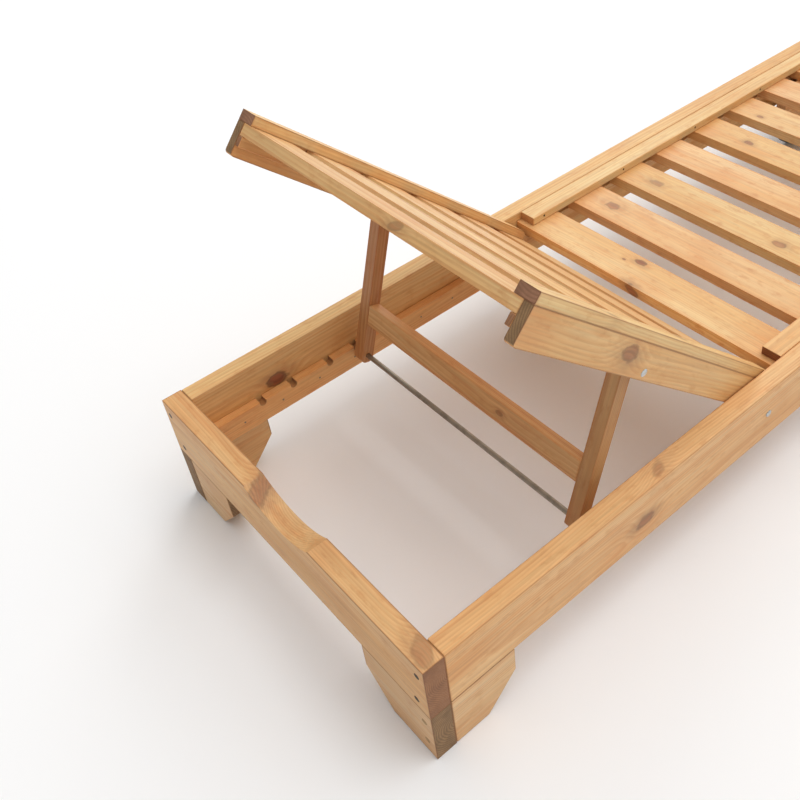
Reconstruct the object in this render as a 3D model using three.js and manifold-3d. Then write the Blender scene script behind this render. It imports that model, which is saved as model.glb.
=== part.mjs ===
// Reclining sun lounger in solid pine: a slatted bed with a hinged backrest, a prop frame that
// sets the backrest's angle in notched rack strips, L-shaped feet at the head and two wheels.
//
// Millimetres, +Z up. +Y points to the head end, +X to the left of a person lying on the bed.
// The origin is on the ground, in the middle of the lounger's length and width.

import * as THREE from 'three';
import { mergeVertices } from 'three/addons/utils/BufferGeometryUtils.js';
import Module from 'manifold-3d';

const wasm = await Module();
wasm.setup();

// ---- driving dimensions -------------------------------------------------------------------

const LENGTH = 1945;
const WIDTH = 600;
const RAIL_THICKNESS = 31.3;
const RAIL_HEIGHT = 102.4;
const FOOT_HEIGHT = 101;
const GAP = 0.3; // between pieces that touch

const FOOT_REACH = 135.8; // from the corner along the top edge
const FOOT_SOLE = 87.2; // from the corner along the ground
const FOOT_CHEEK = 54.4; // height of the upright end's lower corner

const SCOOP_HALF_WIDTH = 75; // hand hold in the head rail
const SCOOP_DEPTH = 23;

const SLAT_COUNT = 11;
const SLAT_WIDTH = 71;
const SLAT_THICKNESS = 18;
const SLAT_PITCH = 111.8;
const FIRST_SLAT = 683.5; // from the head end
const CAP_WIDTH = 31.9; // battens that hold the slat ends down
const CAP_HEIGHT = 14.5;
const CAP_START = 694.1;
const CLEAT_WIDTH = 18;
const CLEAT_HEIGHT = 16;
const CLEAT_START = 697;

const RACK_THICKNESS = 14.5;
const RACK_TOP = 141.5;
const RACK_END = 680;
const NOTCHES = [131, 188, 258, 311]; // from the head end
const NOTCH_RADIUS = 5;
const NOTCH_DEPTH = 7.6;

const HINGE_FROM_HEAD = 633.5;
const HINGE_HEIGHT = 153.6;
const BACKREST_ANGLE = THREE.MathUtils.degToRad(42);
const BACKREST_LENGTH = 601.5; // from the hinge axis to the free end
const BACKREST_TAIL = 16; // behind the hinge axis
const BACKREST_HALF_WIDTH = 267.5;
const BACK_BOARD_THICKNESS = 13.5;
const BACK_BOARD_BELOW = 9.8; // under the hinge axis
const BACK_BOARD_ABOVE = 36.3;
const BACK_CAP_WIDTH = 28.4;
const BACK_CAP_HEIGHT = 14.2;
const BACK_SLAT_COUNT = 6;
const BACK_SLAT_THICKNESS = 16.3;
const BATTEN_WIDTH = 8;
const BATTEN_HEIGHT = 14.6;
const BATTEN_START = 22;

const PROP_PIVOT = 334.8; // from the hinge axis along the backrest
const PROP_PIVOT_RISE = 0.6;
const PROP_LENGTH = 250.3; // from its bolts to the rod
const LEG_SECTION = 21.2;
const LEG_INNER_X = 224;
const LEG_TOP_END = 12;
const LEG_FOOT_END = 13;
const LEG_CORNER = 8;
const ROD_RADIUS = 4;
const ROD_END_GAP = 0.5; // the rod stops this short of the rack strips
const CROSSBAR_HEIGHT = 34;
const CROSSBAR_THICKNESS = 18;
const CROSSBAR_FROM_ROD = 77;

const WHEEL_FROM_HEAD = 1522;
const WHEEL_RADIUS = 75;
const WHEEL_INNER_X = 234;
const WHEEL_WIDTH = 28;
const AXLE_RADIUS = 6;
const BRACKET_THICKNESS = 22;
const BRACKET_OUTER_X = 232;
const BRACKET_LENGTH = 240;
const BRACKET_SOLE = 120;
const BRACKET_BOTTOM = 52;
const BRACKET_CHEEK = 112;

const BOLT_RADIUS = 4;
const BOLT_HEAD_RADIUS = 5.5;
const HINGE_HEAD_HEIGHT = 1.8;
const PROP_HEAD_HEIGHT = 0.8;
const NUT_RADIUS = 7;
const NUT_LENGTH = 5;
const HEAD_GAP = 0.1; // under a bolt's head
const HOLE_CLEARANCE = 0.3;
const SCREW_HEAD_RADIUS = 4.4;
const SCREW_HEAD_DEPTH = 3;
const SCREW_RADIUS = 2.2;
const SCREW_LENGTH = 58;
const ROUND_SIDES = 24;
const SMALL_SIDES = 16;

// ---- dimensions that follow from them -------------------------------------------------------

const HALF_LENGTH = LENGTH / 2;
const HALF_WIDTH = WIDTH / 2;
const RAIL_TOP = FOOT_HEIGHT + GAP + RAIL_HEIGHT;
const RAIL_BOTTOM = FOOT_HEIGHT + GAP;
const RAIL_INNER_X = HALF_WIDTH - RAIL_THICKNESS;
const SLAT_TOP = RAIL_TOP - CAP_HEIGHT - GAP;
const SLAT_BOTTOM = SLAT_TOP - SLAT_THICKNESS;
const BACK_BOARD_INNER_X = BACKREST_HALF_WIDTH - BACK_BOARD_THICKNESS;
const BACK_SLAT_TOP = BACK_BOARD_ABOVE;
const BACK_SLAT_BOTTOM = BACK_SLAT_TOP - BACK_SLAT_THICKNESS;
const BACK_SLAT_PITCH = (BACKREST_LENGTH + BACKREST_TAIL - SLAT_WIDTH) / (BACK_SLAT_COUNT - 1);
const LEG_OUTER_X = LEG_INNER_X + LEG_SECTION;
const RACK_INNER_X = RAIL_INNER_X - GAP - RACK_THICKNESS;
const SIDES = [
  { side: 'left', sign: 1 },
  { side: 'right', sign: -1 },
];

/** Y of a place given by its distance from the head end's outer face. */
function fromHead(distance) {
  return HALF_LENGTH - distance;
}

// ---- materials ------------------------------------------------------------------------------

function finish(color, roughness, metalness) {
  return () => new THREE.MeshStandardMaterial({ color, roughness, metalness });
}

const railPine = finish(0xdfae6c, 0.55, 0);
const slatPine = finish(0xe9bd80, 0.55, 0);
const propPine = finish(0xb98049, 0.6, 0);
const plainSteel = finish(0x8f8a80, 0.35, 1);
const darkSteel = finish(0x4a443d, 0.5, 1);
const blackPlastic = finish(0x1b1b1c, 0.6, 0);

// ---- making and cutting solids --------------------------------------------------------------

const lounger = new THREE.Group();
const backrest = new THREE.Group();
backrest.position.set(0, fromHead(HINGE_FROM_HEAD), HINGE_HEIGHT);
backrest.rotation.x = BACKREST_ANGLE;
lounger.add(backrest);

const propPivot = new THREE.Vector3(0, PROP_PIVOT, PROP_PIVOT_RISE);
propPivot.applyEuler(backrest.rotation).add(backrest.position);
const prop = new THREE.Group();
prop.position.copy(propPivot);
prop.rotation.x = Math.asin((fromHead(NOTCHES.at(-1)) - propPivot.y) / PROP_LENGTH);
lounger.add(prop);

/** A closed geometry as a solid that can be cut. */
function solid(geometry) {
  const bare = geometry.clone();
  bare.deleteAttribute('normal');
  bare.deleteAttribute('uv');
  const merged = mergeVertices(bare, 1e-4);
  return new wasm.Manifold(new wasm.Mesh({
    numProp: 3,
    vertProperties: new Float32Array(merged.attributes.position.array),
    triVerts: new Uint32Array(merged.index.array),
  }));
}

/** The geometry of a cut solid. */
function geometryOf(body) {
  const mesh = body.getMesh();
  const geometry = new THREE.BufferGeometry();
  geometry.setAttribute('position', new THREE.BufferAttribute(new Float32Array(mesh.vertProperties), 3));
  geometry.setIndex(new THREE.BufferAttribute(new Uint32Array(mesh.triVerts), 1));
  return geometry;
}

/** A geometry with others taken out of it. */
function cut(geometry, tools) {
  let body = solid(geometry);
  for (const tool of tools) {
    body = body.subtract(solid(tool));
  }
  return geometryOf(body);
}

function add(group, name, geometry, material) {
  const mesh = new THREE.Mesh(geometry, material());
  mesh.name = name;
  group.add(mesh);
}

/** A box between two corners. */
function block(x0, x1, y0, y1, z0, z1) {
  const low = new THREE.Vector3(Math.min(x0, x1), Math.min(y0, y1), Math.min(z0, z1));
  const high = new THREE.Vector3(Math.max(x0, x1), Math.max(y0, y1), Math.max(z0, z1));
  const size = high.clone().sub(low);
  const geometry = new THREE.BoxGeometry(size.x, size.y, size.z);
  return geometry.translate((low.x + high.x) / 2, (low.y + high.y) / 2, (low.z + high.z) / 2);
}

function polygon(points) {
  return new THREE.Shape(points.map(([a, b]) => new THREE.Vector2(a, b)));
}

function extruded(shape, depth) {
  return new THREE.ExtrudeGeometry(shape, { depth, bevelEnabled: false, curveSegments: 10 });
}

/** A shape in the Y-Z plane made solid from x0 to x1. */
function slabAcross(shape, x0, x1) {
  const low = Math.min(x0, x1);
  const geometry = extruded(shape, Math.abs(x1 - x0));
  const axes = new THREE.Matrix4().set(0, 0, 1, low, 1, 0, 0, 0, 0, 1, 0, 0, 0, 0, 0, 1);
  return geometry.applyMatrix4(axes);
}

/** A shape in the X-Z plane made solid from y0 to y1. */
function slabAlong(shape, y0, y1) {
  const high = Math.max(y0, y1);
  const geometry = extruded(shape, Math.abs(y1 - y0));
  const axes = new THREE.Matrix4().set(1, 0, 0, 0, 0, 0, -1, high, 0, 1, 0, 0, 0, 0, 0, 1);
  return geometry.applyMatrix4(axes);
}

/** A rectangle with its four corners rounded, as a Shape. */
function roundedRectangle(a0, a1, b0, b1, radius) {
  const shape = new THREE.Shape();
  shape.absarc(a1 - radius, b0 + radius, radius, -Math.PI / 2, 0, false);
  shape.absarc(a1 - radius, b1 - radius, radius, 0, Math.PI / 2, false);
  shape.absarc(a0 + radius, b1 - radius, radius, Math.PI / 2, Math.PI, false);
  shape.absarc(a0 + radius, b0 + radius, radius, Math.PI, 1.5 * Math.PI, false);
  shape.closePath();
  return shape;
}

/** A turned solid from a profile of [radius, distance] points, standing at a point along a direction. */
function turned(profile, point, direction, sides) {
  const geometry = new THREE.LatheGeometry(profile.map(([r, d]) => new THREE.Vector2(r, d)), sides);
  const turn = new THREE.Quaternion().setFromUnitVectors(new THREE.Vector3(0, 1, 0), direction);
  geometry.applyQuaternion(turn);
  return geometry.translate(point.x, point.y, point.z);
}

function pin(radius, length, point, direction, sides = ROUND_SIDES) {
  return turned([[0, 0], [radius, 0], [radius, length], [0, length]], point, direction, sides);
}

/** A countersunk screw whose head is flush with the face at a point, going in along a direction. */
function screw(point, direction, length = SCREW_LENGTH) {
  const tip = 6;
  return turned([
    [0, 0],
    [SCREW_HEAD_RADIUS, 0],
    [SCREW_RADIUS, SCREW_HEAD_DEPTH],
    [SCREW_RADIUS, length - tip],
    [0, length],
  ], point, direction, SMALL_SIDES);
}

function screwHole(point, direction, length = SCREW_LENGTH) {
  const start = point.clone().addScaledVector(direction, -1);
  const wide = SCREW_HEAD_RADIUS + HOLE_CLEARANCE;
  const narrow = SCREW_RADIUS + HOLE_CLEARANCE;
  return turned([
    [0, 0],
    [wide, 0],
    [wide, 1 + GAP],
    [narrow, 1 + GAP + SCREW_HEAD_DEPTH],
    [narrow, length + 2],
    [0, length + 2],
  ], start, direction, SMALL_SIDES);
}

const alongX = new THREE.Vector3(1, 0, 0);
const inward = (sign) => new THREE.Vector3(-sign, 0, 0);
const outward = (sign) => new THREE.Vector3(sign, 0, 0);

// ---- bed frame: rails ------------------------------------------------------------------------

const RAIL_SCREWS = [
  { row: 'upper', x: 286, z: 181.5 },
  { row: 'lower', x: 277, z: 119 },
];
const toFoot = new THREE.Vector3(0, -1, 0);

/** Screws through the head rail into the side rails' ends. */
function headScrews() {
  return SIDES.flatMap(({ side, sign }) => RAIL_SCREWS.map(({ row, x, z }) => ({
    name: `head_screw_${side}_${row}`,
    point: new THREE.Vector3(sign * x, HALF_LENGTH, z),
  })));
}

/** The head rail's face: a board with a round hand hold scooped out of its top edge. */
function headRailOutline() {
  const radius = (SCOOP_HALF_WIDTH ** 2 + SCOOP_DEPTH ** 2) / (2 * SCOOP_DEPTH);
  const edge = Math.atan2(radius - SCOOP_DEPTH, SCOOP_HALF_WIDTH);
  const shape = new THREE.Shape();
  shape.moveTo(-HALF_WIDTH, RAIL_BOTTOM);
  shape.lineTo(HALF_WIDTH, RAIL_BOTTOM);
  shape.lineTo(HALF_WIDTH, RAIL_TOP);
  shape.absarc(0, RAIL_TOP - SCOOP_DEPTH + radius, radius, -edge, edge - Math.PI, true);
  shape.lineTo(-HALF_WIDTH, RAIL_TOP);
  shape.closePath();
  return shape;
}

function makeEndRails() {
  const screws = headScrews();
  const headBoard = slabAlong(headRailOutline(), fromHead(0), fromHead(RAIL_THICKNESS));
  add(lounger, 'head_rail', cut(headBoard, screws.map(({ point }) => screwHole(point, toFoot))), railPine);
  add(lounger, 'foot_rail', block(-HALF_WIDTH, HALF_WIDTH,
    -HALF_LENGTH, -HALF_LENGTH + RAIL_THICKNESS, RAIL_BOTTOM, RAIL_TOP), railPine);
  for (const { name, point } of screws) {
    add(lounger, name, screw(point, toFoot), darkSteel);
  }
}

/** A strip along the inside of a side rail, with a round-bottomed notch for each backrest position. */
function rackStrip(sign) {
  const outer = RAIL_INNER_X - GAP;
  const strip = block(sign * RACK_INNER_X, sign * outer,
    fromHead(RAIL_THICKNESS + GAP), fromHead(RACK_END), RAIL_BOTTOM, RACK_TOP);
  const centre = RACK_TOP - NOTCH_DEPTH + NOTCH_RADIUS;
  const tools = NOTCHES.flatMap((place) => {
    const y = fromHead(place);
    const start = new THREE.Vector3(-HALF_WIDTH, y, centre);
    return [
      pin(NOTCH_RADIUS, WIDTH, start, alongX),
      block(-HALF_WIDTH, HALF_WIDTH, y - NOTCH_RADIUS, y + NOTCH_RADIUS, centre, RACK_TOP + 2),
    ];
  });
  return cut(strip, tools);
}

function makeSideRails() {
  const start = fromHead(RAIL_THICKNESS + GAP);
  const end = fromHead(LENGTH - RAIL_THICKNESS - GAP);
  const inner = RAIL_INNER_X - GAP;
  const hingeStart = new THREE.Vector3(-HALF_WIDTH - 1, fromHead(HINGE_FROM_HEAD), HINGE_HEIGHT);
  const hingeBore = pin(BOLT_RADIUS + HOLE_CLEARANCE, WIDTH + 2, hingeStart, alongX);
  const screwHoles = headScrews().map(({ point }) => screwHole(point, toFoot));
  for (const { side, sign } of SIDES) {
    const rail = block(sign * RAIL_INNER_X, sign * HALF_WIDTH, start, end, RAIL_BOTTOM, RAIL_TOP);
    add(lounger, `side_rail_${side}`, cut(rail, [hingeBore, ...screwHoles]), railPine);
    add(lounger, `rack_strip_${side}`, rackStrip(sign), railPine);
    add(lounger, `seat_cap_${side}`, block(sign * (inner - CAP_WIDTH), sign * inner,
      fromHead(CAP_START), end, RAIL_TOP - CAP_HEIGHT, RAIL_TOP), railPine);
    add(lounger, `seat_cleat_${side}`, block(sign * (inner - CLEAT_WIDTH), sign * inner,
      fromHead(CLEAT_START), end, SLAT_BOTTOM - GAP - CLEAT_HEIGHT, SLAT_BOTTOM - GAP), railPine);
  }
}

function makeSeatSlats() {
  const end = RAIL_INNER_X - GAP;
  for (let i = 0; i < SLAT_COUNT; i += 1) {
    const start = FIRST_SLAT + i * SLAT_PITCH;
    const slat = block(-end, end, fromHead(start), fromHead(start + SLAT_WIDTH), SLAT_BOTTOM, SLAT_TOP);
    add(lounger, `seat_slat_${String(i + 1).padStart(2, '0')}`, slat, slatPine);
  }
}

// ---- L-shaped feet at the head end ------------------------------------------------------------

const FOOT_SCREWS = [
  { row: 'upper', z: 74 },
  { row: 'lower', z: 28 },
];

/** A foot board's corners: distance from the lounger's corner against height. */
function footCorners(start) {
  return [
    [start, 0],
    [FOOT_SOLE, 0],
    [FOOT_REACH, FOOT_CHEEK],
    [FOOT_REACH, FOOT_HEIGHT],
    [start, FOOT_HEIGHT],
  ];
}

/** Each foot is one long board with a short one butted against it; the left foot is the right one turned. */
function makeFeet() {
  const butt = RAIL_THICKNESS + GAP;
  const middle = HALF_WIDTH - RAIL_THICKNESS / 2;
  const feet = [
    {
      side: 'right',
      front: footCorners(0).map(([d, z]) => [d - HALF_WIDTH, z]),
      flank: footCorners(butt).map(([d, z]) => [HALF_LENGTH - d, z]),
      screwPoint: (z) => new THREE.Vector3(-middle, HALF_LENGTH, z),
      direction: toFoot,
    },
    {
      side: 'left',
      front: footCorners(butt).map(([d, z]) => [HALF_WIDTH - d, z]),
      flank: footCorners(0).map(([d, z]) => [HALF_LENGTH - d, z]),
      screwPoint: (z) => new THREE.Vector3(HALF_WIDTH, HALF_LENGTH - RAIL_THICKNESS / 2, z),
      direction: inward(1),
    },
  ];
  for (const { side, front, flank, screwPoint, direction } of feet) {
    const sign = side === 'left' ? 1 : -1;
    const holes = FOOT_SCREWS.map(({ z }) => screwHole(screwPoint(z), direction));
    const frontBoard = slabAlong(polygon(front), HALF_LENGTH - RAIL_THICKNESS, HALF_LENGTH);
    add(lounger, `foot_front_${side}`, cut(frontBoard, holes), railPine);
    const flankBoard = slabAcross(polygon(flank), sign * RAIL_INNER_X, sign * HALF_WIDTH);
    add(lounger, `foot_side_${side}`, cut(flankBoard, holes), railPine);
    for (const { row, z } of FOOT_SCREWS) {
      add(lounger, `foot_screw_${side}_${row}`, screw(screwPoint(z), direction), darkSteel);
    }
  }
}

// ---- wheels -----------------------------------------------------------------------------------

const AXLE_HEIGHT = WHEEL_RADIUS;
const AXLE_HALF_LENGTH = 266;
const HUB_RADIUS = 17;
const WEB_HALF_THICKNESS = 5;
const RIM_INNER_RADIUS = 56;
const TREAD_ROUND = 6;
const PUSH_CAP_RADIUS = 10;
const PUSH_CAP_LENGTH = 4;

/** A wheel's half section, from the bore outwards: hub, web, rim and rounded tread. */
function wheelProfile() {
  const bore = AXLE_RADIUS + HOLE_CLEARANCE;
  const half = WHEEL_WIDTH / 2;
  return [
    [bore, -half],
    [HUB_RADIUS, -half],
    [HUB_RADIUS, -WEB_HALF_THICKNESS],
    [RIM_INNER_RADIUS, -WEB_HALF_THICKNESS],
    [RIM_INNER_RADIUS, -half + 2],
    [WHEEL_RADIUS - TREAD_ROUND, -half + 2],
    [WHEEL_RADIUS, -half + 2 + TREAD_ROUND],
    [WHEEL_RADIUS, half - 2 - TREAD_ROUND],
    [WHEEL_RADIUS - TREAD_ROUND, half - 2],
    [RIM_INNER_RADIUS, half - 2],
    [RIM_INNER_RADIUS, WEB_HALF_THICKNESS],
    [HUB_RADIUS, WEB_HALF_THICKNESS],
    [HUB_RADIUS, half],
    [bore, half],
    [bore, -half],
  ];
}

function makeWheels() {
  const y = fromHead(WHEEL_FROM_HEAD);
  const half = BRACKET_LENGTH / 2;
  const sole = BRACKET_SOLE / 2;
  const top = SLAT_BOTTOM - GAP;
  const outline = polygon([
    [y - sole, BRACKET_BOTTOM],
    [y + sole, BRACKET_BOTTOM],
    [y + half, BRACKET_CHEEK],
    [y + half, top],
    [y - half, top],
    [y - half, BRACKET_CHEEK],
  ]);
  const inside = AXLE_RADIUS + 0.2;
  const ring = [
    [inside, 0],
    [PUSH_CAP_RADIUS, 0],
    [PUSH_CAP_RADIUS, PUSH_CAP_LENGTH - 1],
    [PUSH_CAP_RADIUS - 1, PUSH_CAP_LENGTH],
    [inside, PUSH_CAP_LENGTH],
    [inside, 0],
  ];
  const axleStart = new THREE.Vector3(-AXLE_HALF_LENGTH, y, AXLE_HEIGHT);
  add(lounger, 'axle', pin(AXLE_RADIUS, 2 * AXLE_HALF_LENGTH, axleStart, alongX), plainSteel);
  const boreStart = new THREE.Vector3(-HALF_WIDTH, y, AXLE_HEIGHT);
  const bore = pin(AXLE_RADIUS + HOLE_CLEARANCE, WIDTH, boreStart, alongX);
  for (const { side, sign } of SIDES) {
    const board = slabAcross(outline, sign * (BRACKET_OUTER_X - BRACKET_THICKNESS), sign * BRACKET_OUTER_X);
    add(lounger, `wheel_bracket_${side}`, cut(board, [bore]), railPine);
    const centre = new THREE.Vector3(sign * (WHEEL_INNER_X + WHEEL_WIDTH / 2), y, AXLE_HEIGHT);
    add(lounger, `wheel_${side}`, turned(wheelProfile(), centre, alongX, 48), blackPlastic);
    const capStart = new THREE.Vector3(sign * (WHEEL_INNER_X + WHEEL_WIDTH + GAP), y, AXLE_HEIGHT);
    add(lounger, `axle_cap_${side}`, turned(ring, capStart, outward(sign), ROUND_SIDES), plainSteel);
  }
}

// ---- backrest, in the hinge's own frame: Y up the backrest, Z square to it -------------------

/** A side board's face, rounded about the hinge so that it clears the rack strip below. */
function backBoardOutline() {
  const foot = BACK_BOARD_BELOW;
  const freeCorner = 6;
  const shape = new THREE.Shape();
  shape.absarc(0, 0, foot, Math.PI, 1.5 * Math.PI, false);
  shape.absarc(BACKREST_LENGTH - freeCorner, -foot + freeCorner, freeCorner, -Math.PI / 2, 0, false);
  shape.lineTo(BACKREST_LENGTH, BACK_BOARD_ABOVE);
  shape.lineTo(-BACKREST_TAIL, BACK_BOARD_ABOVE);
  shape.lineTo(-BACKREST_TAIL, BACK_BOARD_ABOVE / 2);
  shape.closePath();
  return shape;
}

/** A cap's side view, with the end over the hinge rounded off. */
function backCapOutline() {
  const round = 11;
  const low = BACK_BOARD_ABOVE + GAP;
  const high = low + BACK_CAP_HEIGHT;
  const shape = new THREE.Shape();
  shape.moveTo(-BACKREST_TAIL, low);
  shape.lineTo(BACKREST_LENGTH, low);
  shape.lineTo(BACKREST_LENGTH, high);
  shape.absarc(-BACKREST_TAIL + round, high - round, round, Math.PI / 2, Math.PI, false);
  shape.closePath();
  return shape;
}

function makeBackrest() {
  const boreRadius = BOLT_RADIUS + HOLE_CLEARANCE;
  const bore = (y, z) => pin(boreRadius, WIDTH, new THREE.Vector3(-HALF_WIDTH, y, z), alongX);
  const bores = [bore(0, 0), bore(PROP_PIVOT, PROP_PIVOT_RISE)];
  const slatEnd = BACK_BOARD_INNER_X - GAP;
  const battenTop = BACK_SLAT_BOTTOM - GAP;
  for (const { side, sign } of SIDES) {
    const board = slabAcross(backBoardOutline(), sign * BACK_BOARD_INNER_X, sign * BACKREST_HALF_WIDTH);
    add(backrest, `backrest_board_${side}`, cut(board, bores), railPine);
    const capInner = BACKREST_HALF_WIDTH - BACK_CAP_WIDTH;
    const cap = slabAcross(backCapOutline(), sign * capInner, sign * BACKREST_HALF_WIDTH);
    add(backrest, `backrest_cap_${side}`, cap, railPine);
    add(backrest, `backrest_batten_${side}`, block(sign * (slatEnd - BATTEN_WIDTH), sign * slatEnd,
      BATTEN_START, BACKREST_LENGTH, battenTop - BATTEN_HEIGHT, battenTop), propPine);
  }
  for (let i = 0; i < BACK_SLAT_COUNT; i += 1) {
    const high = BACKREST_LENGTH - i * BACK_SLAT_PITCH;
    const slat = block(-slatEnd, slatEnd, high - SLAT_WIDTH, high, BACK_SLAT_BOTTOM, BACK_SLAT_TOP);
    add(backrest, `backrest_slat_${i + 1}`, slat, slatPine);
  }
}

// ---- bolts -------------------------------------------------------------------------------------

/** A dome-headed bolt with a round nut, its head's underside at a point, going in along a direction. */
function bolt(headHeight, reach, point, direction) {
  return turned([
    [0, -headHeight],
    [0.6 * BOLT_HEAD_RADIUS, -0.88 * headHeight],
    [0.9 * BOLT_HEAD_RADIUS, -0.5 * headHeight],
    [BOLT_HEAD_RADIUS, -0.2 * headHeight],
    [BOLT_HEAD_RADIUS, 0],
    [BOLT_RADIUS, 0],
    [BOLT_RADIUS, reach],
    [NUT_RADIUS, reach],
    [NUT_RADIUS, reach + NUT_LENGTH],
    [0, reach + NUT_LENGTH],
  ], point, direction, ROUND_SIDES);
}

function makeBolts() {
  const hingeFace = HALF_WIDTH + HEAD_GAP;
  const propFace = BACKREST_HALF_WIDTH + HEAD_GAP;
  for (const { side, sign } of SIDES) {
    const hingePoint = new THREE.Vector3(sign * hingeFace, fromHead(HINGE_FROM_HEAD), HINGE_HEIGHT);
    const hingeReach = hingeFace - BACK_BOARD_INNER_X + GAP;
    const hingeBolt = bolt(HINGE_HEAD_HEIGHT, hingeReach, hingePoint, inward(sign));
    add(lounger, `hinge_bolt_${side}`, hingeBolt, plainSteel);
    const propPoint = new THREE.Vector3(sign * propFace, PROP_PIVOT, PROP_PIVOT_RISE);
    const propReach = propFace - LEG_INNER_X + GAP;
    const propBolt = bolt(PROP_HEAD_HEIGHT, propReach, propPoint, inward(sign));
    add(backrest, `prop_bolt_${side}`, propBolt, plainSteel);
  }
}

// ---- prop frame, in its pivot's own frame: Z up the legs -----------------------------------------

function makeProp() {
  const half = LEG_SECTION / 2;
  const barMiddle = CROSSBAR_FROM_ROD - PROP_LENGTH;
  const barEnd = LEG_INNER_X - GAP;
  const rodHalf = RACK_INNER_X - ROD_END_GAP;
  const boreStart = (z) => new THREE.Vector3(-HALF_WIDTH, 0, z);
  const bore = (radius, z) => pin(radius + HOLE_CLEARANCE, WIDTH, boreStart(z), alongX);
  const bores = [bore(BOLT_RADIUS, 0), bore(ROD_RADIUS, -PROP_LENGTH)];
  for (const { side, sign } of SIDES) {
    const outline = roundedRectangle(-half, half, -PROP_LENGTH - LEG_FOOT_END, LEG_TOP_END, LEG_CORNER);
    const leg = slabAcross(outline, sign * LEG_INNER_X, sign * LEG_OUTER_X);
    add(prop, `prop_leg_${side}`, cut(leg, bores), propPine);
  }
  add(prop, 'prop_crossbar', block(-barEnd, barEnd, half - CROSSBAR_THICKNESS, half,
    barMiddle - CROSSBAR_HEIGHT / 2, barMiddle + CROSSBAR_HEIGHT / 2), propPine);
  const rod = pin(ROD_RADIUS, 2 * rodHalf, new THREE.Vector3(-rodHalf, 0, -PROP_LENGTH), alongX);
  add(prop, 'prop_rod', rod, plainSteel);
}

makeEndRails();
makeSideRails();
makeSeatSlats();
makeFeet();
makeWheels();
makeBackrest();
makeBolts();
makeProp();

export default lounger;
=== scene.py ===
import math
import random

import bpy
from mathutils import Euler, Matrix, Vector


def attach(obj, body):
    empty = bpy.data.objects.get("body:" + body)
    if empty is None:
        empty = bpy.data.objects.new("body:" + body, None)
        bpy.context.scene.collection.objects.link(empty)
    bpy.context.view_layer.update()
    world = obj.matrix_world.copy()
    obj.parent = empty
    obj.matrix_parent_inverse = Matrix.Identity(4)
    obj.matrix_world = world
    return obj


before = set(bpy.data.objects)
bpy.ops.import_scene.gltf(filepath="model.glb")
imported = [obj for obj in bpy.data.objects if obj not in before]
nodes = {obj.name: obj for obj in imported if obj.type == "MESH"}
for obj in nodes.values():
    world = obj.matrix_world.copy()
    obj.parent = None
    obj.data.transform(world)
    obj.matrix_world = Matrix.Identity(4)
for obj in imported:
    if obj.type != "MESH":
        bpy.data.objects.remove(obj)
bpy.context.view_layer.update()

SIDES = (("left", 1), ("right", -1))

# ---- sizes the looks need, in metres, in the row frame ------------------------------------------

HALF_LENGTH = 0.9725
RECLINE = math.radians(42)
HINGE = Vector((0, 0.339, 0.1536))
PROP_BOLT = Vector((0, 0.587403, 0.378071))
LEG_LEAN = math.radians(17.22)

X = Vector((1, 0, 0))
Y = Vector((0, 1, 0))
Z = Vector((0, 0, 1))
UP_BACK = Vector((0, math.cos(RECLINE), math.sin(RECLINE)))
OFF_BACK = Vector((0, -math.sin(RECLINE), math.cos(RECLINE)))
UP_LEG = Vector((0, -math.sin(LEG_LEAN), math.cos(LEG_LEAN)))
OFF_LEG = Vector((0, math.cos(LEG_LEAN), math.sin(LEG_LEAN)))


def srgb(red, green, blue):
    """A colour given as 0-255 display values, as a linear RGBA tuple."""
    def linear(value):
        value /= 255
        return value / 12.92 if value <= 0.04045 else ((value + 0.055) / 1.055) ** 2.4
    return (linear(red), linear(green), linear(blue), 1.0)


# ---- building node trees ------------------------------------------------------------------------

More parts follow.
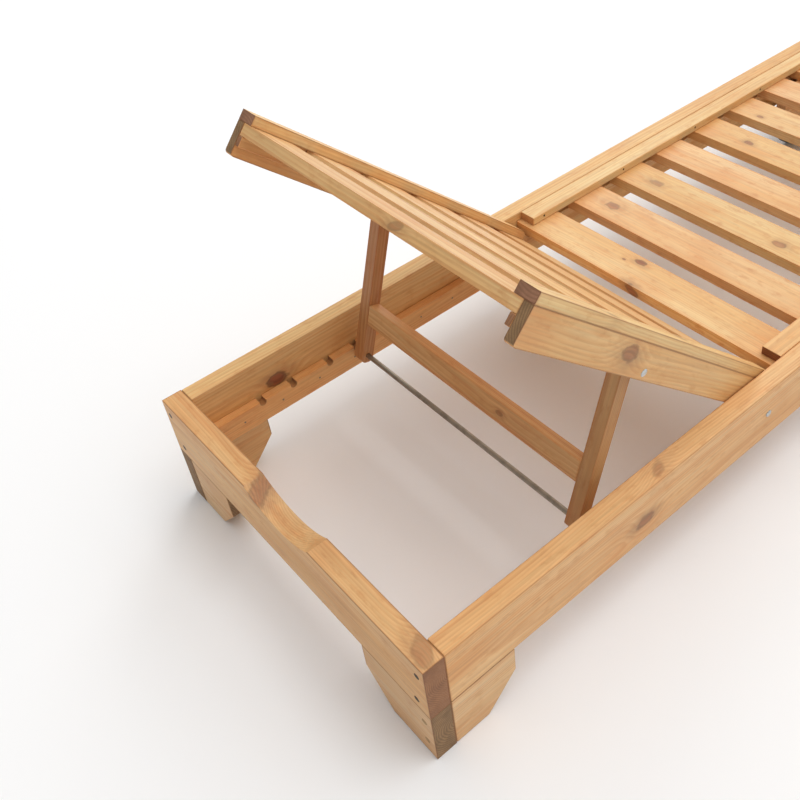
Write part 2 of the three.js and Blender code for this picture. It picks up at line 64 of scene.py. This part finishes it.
class Graph:
    """Shorthand for building one material's node tree."""

    def __init__(self, name):
        self.material = bpy.data.materials.new(name)
        self.material.use_nodes = True
        self.tree = self.material.node_tree
        self.tree.nodes.clear()
        self.shader = self.node("ShaderNodeBsdfPrincipled")
        output = self.node("ShaderNodeOutputMaterial")
        self.tree.links.new(self.shader.outputs["BSDF"], output.inputs["Surface"])

    def node(self, kind, **settings):
        made = self.tree.nodes.new(kind)
        for key, value in settings.items():
            setattr(made, key, value)
        return made

    def put(self, socket, value):
        if isinstance(value, bpy.types.NodeSocket):
            self.tree.links.new(value, socket)
        else:
            socket.default_value = value

    def math(self, operation, *values, clamp=False):
        made = self.node("ShaderNodeMath", operation=operation, use_clamp=clamp)
        for socket, value in zip(made.inputs, values):
            self.put(socket, value)
        return made.outputs[0]

    def add(self, *values):
        total = values[0]
        for value in values[1:]:
            total = self.math("ADD", total, value)
        return total

    def times(self, *values):
        total = values[0]
        for value in values[1:]:
            total = self.math("MULTIPLY", total, value)
        return total

    def smooth(self, value, low, high, to_low=0.0, to_high=1.0):
        made = self.node("ShaderNodeMapRange", interpolation_type="SMOOTHSTEP")
        for key, number in (("Value", value), ("From Min", low), ("From Max", high),
                            ("To Min", to_low), ("To Max", to_high)):
            self.put(made.inputs[key], number)
        return made.outputs["Result"]

    def combine(self, *values):
        made = self.node("ShaderNodeCombineXYZ")
        for socket, value in zip(made.inputs, values):
            self.put(socket, value)
        return made.outputs[0]

    def split(self, vector):
        made = self.node("ShaderNodeSeparateXYZ")
        self.put(made.inputs[0], vector)
        return made.outputs

    def noise(self, vector, detail=2.0, roughness=0.5, scale=1.0, distortion=0.0):
        made = self.node("ShaderNodeTexNoise")
        for key, value in (("Vector", vector), ("Scale", scale), ("Detail", detail),
                           ("Roughness", roughness), ("Distortion", distortion)):
            self.put(made.inputs[key], value)
        return made.outputs

    def mix(self, factor, first, second, blend="MIX"):
        made = self.node("ShaderNodeMix", data_type="RGBA", blend_type=blend)
        self.put(made.inputs["Factor"], factor)
        self.put(made.inputs[6], first)
        self.put(made.inputs[7], second)
        return made.outputs[2]


# ---- pine -----------------------------------------------------------------------------------------

STRAW = srgb(241, 205, 150)
HONEY = srgb(233, 185, 124)
LATEWOOD = srgb(208, 139, 80)
AMBER = srgb(222, 152, 90)
SMUDGE = srgb(166, 136, 102)
# Dark brown for painted shade with some dirt in the joints along board edges, and for painted shade in the rod
# notches.
SHADE_AND_GRIME = srgb(120, 72, 40)
KNOT = srgb(158, 90, 56)
KNOT_RIM = srgb(92, 52, 34)
PALE_END = (srgb(208, 160, 112), srgb(164, 116, 76))
DARK_END = (srgb(156, 98, 62), srgb(104, 66, 44))
GREY_END = (srgb(164, 128, 88), srgb(108, 82, 56))
RED_END = (srgb(172, 122, 84), srgb(124, 84, 58))
MAUVE_END = (srgb(168, 120, 90), srgb(128, 90, 66))


def tinted(color, tone):
    return tuple(channel * factor for channel, factor in zip(color[:3], tone)) + (1.0,)


def pine(name, grain, face, centre, half, look, knots):
    """Solid pine for one board. grain runs along it and face is its broad side's normal.

    half is its half sizes across, through and along. Knots are (across, along, radius, darkness).
    """
    rng = random.Random(name)
    g = Graph("pine_" + name)
    across = face.cross(grain)
    turn = Matrix((across, face, grain))
    mapping = g.node("ShaderNodeMapping", vector_type="POINT")
    coordinates = g.node("ShaderNodeTexCoord")
    g.put(mapping.inputs["Vector"], coordinates.outputs["Object"])
    mapping.inputs["Rotation"].default_value = turn.to_euler("XYZ")
    mapping.inputs["Location"].default_value = -(turn @ centre)
    a, b, c = g.split(mapping.outputs[0])

    seed = rng.uniform(0, 40)
    tone = [channel * rng.uniform(0.97, 1.02) for channel in look["tone"]]
    pith_a = rng.uniform(-0.03, 0.03)
    pith_b = rng.choice((-1, 1)) * rng.uniform(0.025, 0.06)
    width = look["ring"] * rng.uniform(0.8, 1.25)
    figure = look["figure"]

    bend = g.split(g.noise(g.combine(seed, seed * 0.7, g.times(c, 1.3)), detail=1.0)[1])
    ripple = g.noise(g.combine(g.times(a, 34), g.times(b, 34), g.add(g.times(c, 5), seed)), detail=2.0)[0]
    da = g.add(a, -pith_a, g.times(g.add(bend[0], -0.5), 0.05))
    db = g.add(b, -pith_b, g.times(g.add(bend[1], -0.5), 0.035))
    radius = g.math("SQRT", g.add(g.times(da, da), g.times(db, db)))
    radius = g.add(radius, g.times(g.add(ripple, -0.5), 0.004))
    fibre_place = g.combine(g.times(a, 300), g.times(b, 300), g.add(g.times(c, 10), seed))
    fibre = g.noise(fibre_place, detail=3.0, roughness=0.6)[0]

    core = 0.0
    rim = 0.0
    halo = 0.0
    if knots:
        wobble = g.noise(g.combine(g.times(a, 120), g.times(b, 90), g.add(g.times(c, 80), seed)), detail=2.0)[0]
        wobble = g.add(g.times(g.add(ripple, -0.5), 0.8), g.times(g.add(wobble, -0.5), 1.1))
    for knot_a, knot_c, size, darkness in knots:
        ka = g.math("DIVIDE", g.add(a, -knot_a), size)
        kc = g.math("DIVIDE", g.add(c, -knot_c, g.times(b, rng.choice((-0.7, 0.7)))), size * 1.6)
        square = g.add(g.times(ka, ka), g.times(kc, kc))
        if abs(knot_a) > half[0] - size:
            kb = g.math("DIVIDE", b, size * 1.3)
            square = g.add(square, g.times(kb, kb))
        swell = g.math("POWER", 2.718, g.times(square, -0.18))
        radius = g.add(radius, g.times(swell, 1.2 * size))
        reach = g.add(g.math("SQRT", square), wobble)
        core = g.math("MAXIMUM", core, g.smooth(reach, 1.2, 0.7, 0.0, darkness))
        band = g.times(g.smooth(reach, 1.5, 1.1, 0.0, darkness), g.smooth(reach, 0.7, 1.05))
        rim = g.math("MAXIMUM", rim, band)
        halo = g.math("MAXIMUM", halo, g.smooth(reach, 3.6, 0.8, 0.0, darkness))

    rings = g.math("DIVIDE", radius, width)
    phase = g.math("FRACT", rings)
    late = g.times(g.smooth(phase, 0.1, 0.82), g.smooth(phase, 1.0, 0.86))
    slow_place = g.combine(g.times(a, 12), g.times(b, 12), g.add(g.times(c, 1.6), seed * 1.3))
    slow = g.noise(slow_place, detail=4.0, roughness=0.6)[0]
    streak_place = g.combine(g.times(a, 80), g.times(b, 80), g.add(g.times(c, 1.0), seed))
    streak = g.noise(streak_place, detail=3.0, roughness=0.6)[0]
    cloud = g.noise(g.combine(g.times(a, 22), g.times(b, 22), g.add(g.times(c, 9), seed)), detail=3.0)[0]

    color = g.mix(g.smooth(slow, 0.36, 0.66), tinted(STRAW, tone), tinted(HONEY, tone))
    lines = g.times(late, g.smooth(streak, 0.34, 0.66, 0.35 * figure, figure))
    color = g.mix(lines, color, tinted(LATEWOOD, tone))
    color = g.mix(g.smooth(streak, 0.52, 0.74, 0.0, 0.2 + 0.5 * figure), color, tinted(AMBER, tone))
    color = g.mix(g.smooth(cloud, 0.46, 0.74, 0.0, look["blotch"]), color, tinted(AMBER, tone))
    mottle_place = g.combine(g.times(a, 95), g.times(b, 95), g.add(g.times(c, 36), seed))
    mottle = g.noise(mottle_place, detail=4.0, roughness=0.65)[0]
    color = g.mix(g.smooth(mottle, 0.5, 0.74, 0.0, look["blotch"] + 0.12), color, tinted(LATEWOOD, tone))
    if look["warm_ends"]:
        place = g.add(g.math("ABSOLUTE", c), g.times(g.add(cloud, -0.5), 0.1))
        ends = g.smooth(place, half[2] - 0.1, half[2] - 0.015)
        color = g.mix(g.times(ends, look["warm_ends"]), color, tinted(AMBER, tone))
    if look["smudge"]:
        grime = g.times(g.smooth(slow, 0.54, 0.7), g.smooth(cloud, 0.42, 0.66), look["smudge"])
        color = g.mix(grime, color, tinted(SMUDGE, tone))
    if knots:
        color = g.mix(g.times(halo, 0.5), color, tinted(LATEWOOD, tone))
        color = g.mix(g.times(halo, g.smooth(cloud, 0.36, 0.64), 0.75), color, tinted(SMUDGE, tone))
        growth = g.math("SINE", g.times(rings, 5.0))
        heart = g.mix(g.smooth(growth, -0.6, 1.0, 0.0, 0.5), KNOT, KNOT_RIM)
        color = g.mix(core, color, heart)
        color = g.mix(g.times(rim, 0.7), color, KNOT_RIM)
    weathered = g.smooth(fibre, 0.25, 0.75, 0.9, 1.05)
    color = g.mix(1.0, color, g.combine(weathered, weathered, weathered), "MULTIPLY")

    facing = g.node("ShaderNodeVectorMath", operation="DOT_PRODUCT")
    g.put(facing.inputs[0], coordinates.outputs["Normal"])
    facing.inputs[1].default_value = grain
    cut = g.smooth(g.math("ABSOLUTE", facing.outputs["Value"]), 0.6, 0.92)
    pores = g.noise(g.combine(g.times(a, 900), g.times(b, 900), c), detail=2.0)[0]
    blotch = g.noise(g.combine(g.times(a, 45), g.times(b, 45), seed), detail=3.0)[0]
    light_end, dark_end = look["end"]
    end_color = g.mix(g.smooth(late, 0.1, 0.95, 0.05, 0.55), light_end, dark_end)
    end_color = g.mix(g.smooth(blotch, 0.35, 0.75, 0.0, 0.6), end_color, dark_end)
    end_color = g.mix(g.smooth(pores, 0.4, 0.75, 0.0, 0.3), end_color, dark_end)
    color = g.mix(cut, color, end_color)

    gaps = [g.math("SUBTRACT", size, g.math("ABSOLUTE", value)) for size, value in zip(half, (a, b, c))]
    near = g.math("MINIMUM", gaps[0], gaps[1])
    far = g.math("MAXIMUM", gaps[0], gaps[1])
    edge = g.math("MAXIMUM", near, g.math("MINIMUM", far, gaps[2]))
    uncut = g.math("SUBTRACT", 1.0, cut)
    worn = g.smooth(g.add(edge, g.times(g.add(cloud, -0.5), 0.006)), 0.003, 0.0003)
    color = g.mix(g.times(worn, uncut, 0.4), color, tinted(AMBER, tone))
    # Painted shade and dirt: every arris within about 1.6 mm is darkened, standing in for the shade that falls
    # into the joints between boards.
    if look["seam_shade_and_dirt"]:
        color = g.mix(g.smooth(edge, 0.0016, 0.0006, 0.0, look["seam_shade_and_dirt"]), color, SHADE_AND_GRIME)
    # Painted shade in the rack strip's rod notches: the notch hollows are darkened, with a thin rim around them
    # that reads as grime from the rod.
    for notch_shade_a, notch_shade_c in look["notch_shade_and_rod_grime"]:
        away_a = g.add(a, -notch_shade_a)
        away_c = g.add(c, -notch_shade_c)
        away = g.math("SQRT", g.add(g.times(away_a, away_a), g.times(away_c, away_c)))
        color = g.mix(g.smooth(away, 0.0068, 0.0052, 0.0, 0.6), color, SHADE_AND_GRIME)
    g.put(g.shader.inputs["Base Color"], color)

    g.put(g.shader.inputs["Roughness"], g.add(g.smooth(fibre, 0.2, 0.8, 0.42, 0.58), g.times(cut, 0.22)))
    g.shader.inputs["Specular IOR Level"].default_value = 0.4
    bump = g.node("ShaderNodeBump")
    bump.inputs["Strength"].default_value = 0.3
    bump.inputs["Distance"].default_value = 0.0006
    height = g.add(g.times(fibre, 0.6), g.times(late, 0.25), g.times(core, 0.4), g.times(pores, cut))
    g.put(bump.inputs["Height"], height)
    g.put(g.shader.inputs["Normal"], bump.outputs["Normal"])
    return g.material


# ---- metal and plastic -------------------------------------------------------------------------------

def metal(name, color, roughness, scratch):
    g = Graph(name)
    coordinates = g.node("ShaderNodeTexCoord").outputs["Object"]
    dirt = g.noise(coordinates, detail=4.0, scale=90.0)[0]
    fine = g.noise(coordinates, detail=2.0, scale=700.0)[0]
    dark = tuple(channel * 0.6 for channel in color[:3]) + (1.0,)
    g.put(g.shader.inputs["Base Color"], g.mix(g.smooth(dirt, 0.4, 0.75, 0.0, 0.7), color, dark))
    g.shader.inputs["Metallic"].default_value = 1.0
    g.put(g.shader.inputs["Roughness"], g.smooth(fine, 0.2, 0.8, roughness - scratch, roughness + scratch))
    bump = g.node("ShaderNodeBump")
    bump.inputs["Strength"].default_value = 0.2
    bump.inputs["Distance"].default_value = 0.0002
    g.put(bump.inputs["Height"], fine)
    g.put(g.shader.inputs["Normal"], bump.outputs["Normal"])
    return g.material


def plastic(name, color):
    g = Graph(name)
    coordinates = g.node("ShaderNodeTexCoord").outputs["Object"]
    dust = g.noise(coordinates, detail=5.0, scale=40.0)[0]
    grit = g.noise(coordinates, detail=2.0, scale=1400.0)[0]
    g.put(g.shader.inputs["Base Color"], g.mix(g.smooth(dust, 0.45, 0.8, 0.0, 0.35), color, srgb(92, 88, 82)))
    g.put(g.shader.inputs["Roughness"], g.smooth(dust, 0.3, 0.7, 0.45, 0.7))
    bump = g.node("ShaderNodeBump")
    bump.inputs["Strength"].default_value = 0.3
    bump.inputs["Distance"].default_value = 0.0002
    g.put(bump.inputs["Height"], grit)
    g.put(g.shader.inputs["Normal"], bump.outputs["Normal"])
    return g.material


ZINC = metal("zinc_plate", srgb(206, 208, 208), 0.3, 0.1)
ROD_STEEL = metal("rod_steel", srgb(160, 152, 138), 0.38, 0.12)
SCREW_STEEL = metal("screw_steel", srgb(70, 52, 38), 0.5, 0.15)
TARNISHED_STEEL = metal("tarnished_screw", srgb(188, 152, 110), 0.6, 0.15)
NAIL_STEEL = metal("nail_steel", srgb(150, 134, 112), 0.5, 0.15)
BLACK = plastic("black_wheel", srgb(22, 22, 23))


# ---- dressing the CAD nodes ---------------------------------------------------------------------------

def dress(name, material, bevel, smooth=False):
    """Gives a CAD node its material and rounds its edges."""
    node = nodes[name]
    node.data.materials.clear()
    node.data.materials.append(material)
    weld = node.modifiers.new("weld", "WELD")
    weld.merge_threshold = 0.00001
    if bevel:
        rounded = node.modifiers.new("arris", "BEVEL")
        rounded.width = bevel
        rounded.segments = 3
        rounded.limit_method = "ANGLE"
        rounded.angle_limit = math.radians(35)
        rounded.use_clamp_overlap = True
    for polygon in node.data.polygons:
        polygon.use_smooth = smooth


# Each kind of board: the way its grain runs and its broad side's normal.
BOARDS = {
    "head_rail": (X, Y),
    "foot_rail": (X, Y),
    "side_rail": (Y, X),
    "rack_strip": (Y, X),
    "seat_cap": (Y, Z),
    "seat_cleat": (Y, Z),
    "seat_slat": (X, Z),
    "foot_front": (X, Y),
    "foot_side": (Y, X),
    "wheel_bracket": (Y, X),
    "backrest_board": (UP_BACK, X),
    "backrest_cap": (UP_BACK, OFF_BACK),
    "backrest_batten": (UP_BACK, X),
    "backrest_slat": (X, OFF_BACK),
    "prop_leg": (UP_LEG, OFF_LEG),
    "prop_crossbar": (X, OFF_LEG),
}

# How each kind looks where it differs: tone of its colour, ring width in metres, strength of its figure.
# Some kinds also get painted shade: a darkened band along every arris for the joints between boards, and dark
# patches in the rack strips' rod notches.
PLAIN = {
    "tone": (1.0, 1.0, 1.0), "ring": 0.0034, "figure": 0.42, "end": PALE_END, "bevel": 0.0014,
    "blotch": 0.3, "warm_ends": 0.0, "smudge": 0.0, "seam_shade_and_dirt": 0.0, "notch_shade_and_rod_grime": (),
}
LOOKS = {
    "head_rail": {"tone": (0.93, 0.87, 0.79), "end": RED_END, "bevel": 0.0022, "seam_shade_and_dirt": 0.55, "smudge": 0.3},
    "foot_rail": {"bevel": 0.0022, "seam_shade_and_dirt": 0.4},
    "side_rail": {"tone": (0.97, 0.91, 0.82), "bevel": 0.0022, "seam_shade_and_dirt": 0.4, "smudge": 0.35},
    # The rack strips' tone is partly painted light: it is lifted to stand in for bounce light that their inner
    # faces lack.
    "rack_strip": {"tone": (1.02, 0.90, 0.76), "figure": 0.5},
    "seat_slat": {"tone": (0.96, 0.93, 0.88), "figure": 0.32, "blotch": 0.42, "warm_ends": 0.4},
    "foot_front": {"tone": (0.89, 0.90, 0.95), "end": GREY_END, "bevel": 0.0022, "seam_shade_and_dirt": 0.55, "smudge": 0.2},
    "foot_side": {"tone": (0.92, 0.92, 0.96), "end": GREY_END, "bevel": 0.0022, "seam_shade_and_dirt": 0.55, "smudge": 0.2},
    "backrest_board": {
        "tone": (0.95, 0.92, 0.84), "figure": 0.35, "end": GREY_END,
        "warm_ends": 0.4, "smudge": 0.3, "seam_shade_and_dirt": 0.45,
    },
    "backrest_cap": {"tone": (0.98, 0.96, 0.92), "end": MAUVE_END, "smudge": 0.35, "seam_shade_and_dirt": 0.4},
    "backrest_batten": {"tone": (0.88, 0.74, 0.62), "end": RED_END},
    "backrest_slat": {"tone": (0.97, 0.94, 0.90), "ring": 0.0044, "figure": 0.7},
    "prop_leg": {"tone": (0.65, 0.53, 0.45), "figure": 0.7},
    "prop_crossbar": {"tone": (0.88, 0.78, 0.66), "figure": 0.6},
    "seat_cap_right": {"end": DARK_END},
}

# Knots on particular boards: across, along and radius in metres, and how dark they are.
KNOTS = {
    "backrest_board_right": [(0.004, 0.10, 0.0088, 0.6)],
    "backrest_cap_right": [(0.004, 0.156, 0.005, 0.4), (-0.006, -0.029, 0.006, 0.3)],
    "backrest_slat_1": [(0.034, -0.06, 0.0045, 0.4)],
    "seat_slat_01": [
        (-0.0226, 0.0264, 0.0052, 0.85),
        (-0.010, 0.0528, 0.0018, 0.7),
        (0.0355, 0.002, 0.006, 0.7),
    ],
    "seat_slat_02": [(-0.003, 0.1708, 0.0075, 0.6)],
    "seat_slat_03": [(0.0086, -0.0917, 0.006, 0.55), (0.002, 0.1615, 0.007, 0.45)],
    "side_rail_left": [(0.0005, 0.8128, 0.0095, 1.0)],
    "side_rail_right": [(-0.0098, 0.611, 0.0085, 0.6), (0.047, 0.5642, 0.007, 0.35)],
    "head_rail": [(-0.043, 0.06, 0.008, 0.5), (-0.05, -0.28, 0.009, 0.4)],
}

# Where the rod sits in each rack strip: distances from the head end, and the height of its axis.
NOTCH_PLACES = (0.131, 0.188, 0.258, 0.311)
NOTCH_AXIS = 0.1389


def corners(name, directions):
    """A node's centre, and its half sizes along three directions."""
    points = [vertex.co for vertex in nodes[name].data.vertices]
    centre = Vector()
    halves = []
    for direction in directions:
        along = [point.dot(direction) for point in points]
        centre += direction * (min(along) + max(along)) / 2
        halves.append((max(along) - min(along)) / 2)
    return centre, halves


def board_kind(name):
    return next((kind for kind in BOARDS if name.startswith(kind)), None)


def stray_knots(name, half):
    """At most one small, fairly pale knot, in a place of its own, on a long board that has none listed."""
    rng = random.Random("knots " + name)
    count = rng.choice((0, 0, 1)) if half[2] > 0.2 else 0
    knots = []
    for _ in range(count):
        place = (rng.uniform(-0.7, 0.7) * half[0], rng.uniform(-0.9, 0.9) * half[2])
        knots.append((*place, rng.uniform(0.003, 0.006), rng.uniform(0.3, 0.7)))
    return knots


def dress_boards():
    for name in sorted(nodes):
        kind = board_kind(name)
        if kind is None:
            continue
        grain, face = BOARDS[kind]
        centre, half = corners(name, (face.cross(grain), face, grain))
        look = {**PLAIN, **LOOKS.get(kind, {}), **LOOKS.get(name, {})}
        knots = KNOTS.get(name) or stray_knots(name, half)
        if kind == "rack_strip":
            # Centres of the painted notch shade, on the rod's axis in each notch.
            look["notch_shade_and_rod_grime"] = [(NOTCH_AXIS - centre.z, HALF_LENGTH - place - centre.y) for place in NOTCH_PLACES]
        dress(name, pine(name, grain, face, centre, half, look, knots), look["bevel"])


def dress_hardware():
    for name in sorted(nodes):
        if name.startswith("head_screw"):
            dress(name, SCREW_STEEL, 0)
        elif name.startswith("foot_screw"):
            dress(name, TARNISHED_STEEL, 0)
        elif name.startswith(("hinge_bolt", "prop_bolt", "axle_cap")):
            dress(name, ZINC, 0.0003, smooth=True)
        elif name in ("axle", "prop_rod"):
            dress(name, ROD_STEEL, 0.0006)
        elif name.startswith("wheel_") and "bracket" not in name:
            dress(name, BLACK, 0.0008)


dress_boards()
dress_hardware()


# ---- nail heads ---------------------------------------------------------------------------------------

def nail_head(name, place, direction, radius, material):
    """A flat nail head just proud of a wooden face."""
    mesh = bpy.data.meshes.new(name)
    count = 14
    turn = Z.rotation_difference(direction)
    rings = ((radius, -0.001), (radius, 0.0001), (radius * 0.75, 0.00025))
    points = []
    for size, height in rings:
        for i in range(count):
            angle = 2 * math.pi * i / count
            points.append(place + turn @ Vector((size * math.cos(angle), size * math.sin(angle), height)))
    faces = [tuple(reversed(range(count))), tuple(range(2 * count, 3 * count))]
    for ring in range(2):
        for i in range(count):
            j = (i + 1) % count
            faces.append((ring * count + i, ring * count + j, (ring + 1) * count + j, (ring + 1) * count + i))
    mesh.from_pydata([tuple(point) for point in points], [], faces)
    mesh.materials.append(material)
    made = bpy.data.objects.new(name, mesh)
    bpy.context.scene.collection.objects.link(made)
    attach(made, "frame")


for side, sign in SIDES:
    for i in range(8):
        spot = Vector((sign * 0.2539, HALF_LENGTH - 0.094 - 0.07 * i, 0.122))
        nail_head(f"rack_nail_{side}_{i + 1}", spot, -sign * X, 0.0017, NAIL_STEEL)
    for i in range(6):
        spot = Vector((sign * 0.2365, HALF_LENGTH - 0.72 - 0.206 * i, 0.1975))
        nail_head(f"cap_nail_{side}_{i + 1}", spot, -sign * X, 0.002, SCREW_STEEL)


# ---- ribs on the wheels' webs ---------------------------------------------------------------------------

def wheel_ribs(side, sign):
    """Thin radial ribs that stiffen a wheel's web, on both of its faces."""
    mesh = bpy.data.meshes.new(f"wheel_ribs_{side}")
    centre = Vector((sign * 0.248, HALF_LENGTH - 1.522, 0.075))
    count = 8
    points = []
    faces = []
    for i in range(count):
        angle = 2 * math.pi * i / count
        out = Vector((0, math.cos(angle), math.sin(angle)))
        edge = X.cross(out) * 0.0016
        first = len(points)
        for reach in (0.0165, 0.0565):
            for x, half in ((-0.0095, -edge), (0.0095, -edge), (0.0095, edge), (-0.0095, edge)):
                points.append(centre + out * reach + half + X * x)
        for quad in ((0, 1, 2, 3), (7, 6, 5, 4), (0, 4, 5, 1), (1, 5, 6, 2), (2, 6, 7, 3), (3, 7, 4, 0)):
            faces.append(tuple(first + corner for corner in quad))
    mesh.from_pydata([tuple(point) for point in points], [], faces)
    mesh.materials.append(BLACK)
    made = bpy.data.objects.new(mesh.name, mesh)
    bpy.context.scene.collection.objects.link(made)
    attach(made, f"wheel_{side}_body")


for side, sign in SIDES:
    wheel_ribs(side, sign)


# ---- floor, light and camera -----------------------------------------------------------------------------

def make_floor():
    mesh = bpy.data.meshes.new("floor")
    reach = 30
    corner_points = [(-reach, -reach, 0), (reach, -reach, 0), (reach, reach, 0), (-reach, reach, 0)]
    mesh.from_pydata(corner_points, [], [(0, 1, 2, 3)])
    g = Graph("pale_floor")
    g.shader.inputs["Base Color"].default_value = (0.93, 0.93, 0.93, 1)
    g.shader.inputs["Roughness"].default_value = 0.9
    mesh.materials.append(g.material)
    floor = bpy.data.objects.new("floor", mesh)
    floor.location.z = -0.0005
    bpy.context.scene.collection.objects.link(floor)


def area_light(name, place, target, size, power, color):
    light = bpy.data.lights.new(name, "AREA")
    light.shape = "DISK"
    light.size = size
    light.energy = power
    light.color = color
    made = bpy.data.objects.new(name, light)
    made.location = place
    made.rotation_euler = (Vector(target) - Vector(place)).to_track_quat("-Z", "Y").to_euler()
    bpy.context.scene.collection.objects.link(made)


def sun_light(name, direction, power, angle):
    light = bpy.data.lights.new(name, "SUN")
    light.energy = power
    light.angle = angle
    made = bpy.data.objects.new(name, light)
    made.rotation_euler = Vector(direction).to_track_quat("-Z", "Y").to_euler()
    bpy.context.scene.collection.objects.link(made)


def overhead_sky(direction, around, overhead, spread):
    """A studio ceiling: a bright patch of sky about a direction, fading to an even level all round."""
    world = bpy.data.worlds.new("studio")
    world.use_nodes = True
    tree = world.node_tree
    coordinates = tree.nodes.new("ShaderNodeTexCoord")
    facing = tree.nodes.new("ShaderNodeVectorMath")
    facing.operation = "DOT_PRODUCT"
    facing.inputs[1].default_value = Vector(direction).normalized()
    tree.links.new(coordinates.outputs["Generated"], facing.inputs[0])
    steps = (("MAXIMUM", 0.0), ("POWER", spread), ("MULTIPLY", overhead), ("ADD", around))
    value = facing.outputs["Value"]
    for operation, number in steps:
        step = tree.nodes.new("ShaderNodeMath")
        step.operation = operation
        tree.links.new(value, step.inputs[0])
        step.inputs[1].default_value = number
        value = step.outputs[0]
    background = tree.nodes["Background"]
    background.inputs["Color"].default_value = (1, 1, 1, 1)
    tree.links.new(value, background.inputs["Strength"])
    bpy.context.scene.world = world


make_floor()
overhead_sky((-0.1, -0.3, 0.95), around=0.36, overhead=1.75, spread=5.0)
sun_light("key", (0.25, 0.35, -1.0), 0.55, math.radians(40))
area_light("sheen", (3.0, -3.4, 3.0), (0, -0.3, 0.2), 2.6, 55, (1.0, 1.0, 1.0))

lens = bpy.data.cameras.new("camera")
lens.sensor_width = 36
lens.lens = 43.473
lens.shift_x = -0.0668
lens.shift_y = -0.0447
lens.clip_start = 0.05
camera = bpy.data.objects.new("camera", lens)
camera.location = (-0.7804, 1.2513, 1.1660)
camera.rotation_euler = Euler([math.radians(angle) for angle in (47.2497, 4.1372, -130.8764)], "XYZ")
bpy.context.scene.collection.objects.link(camera)
bpy.context.scene.camera = camera
bpy.context.scene.view_settings.view_transform = "Standard"
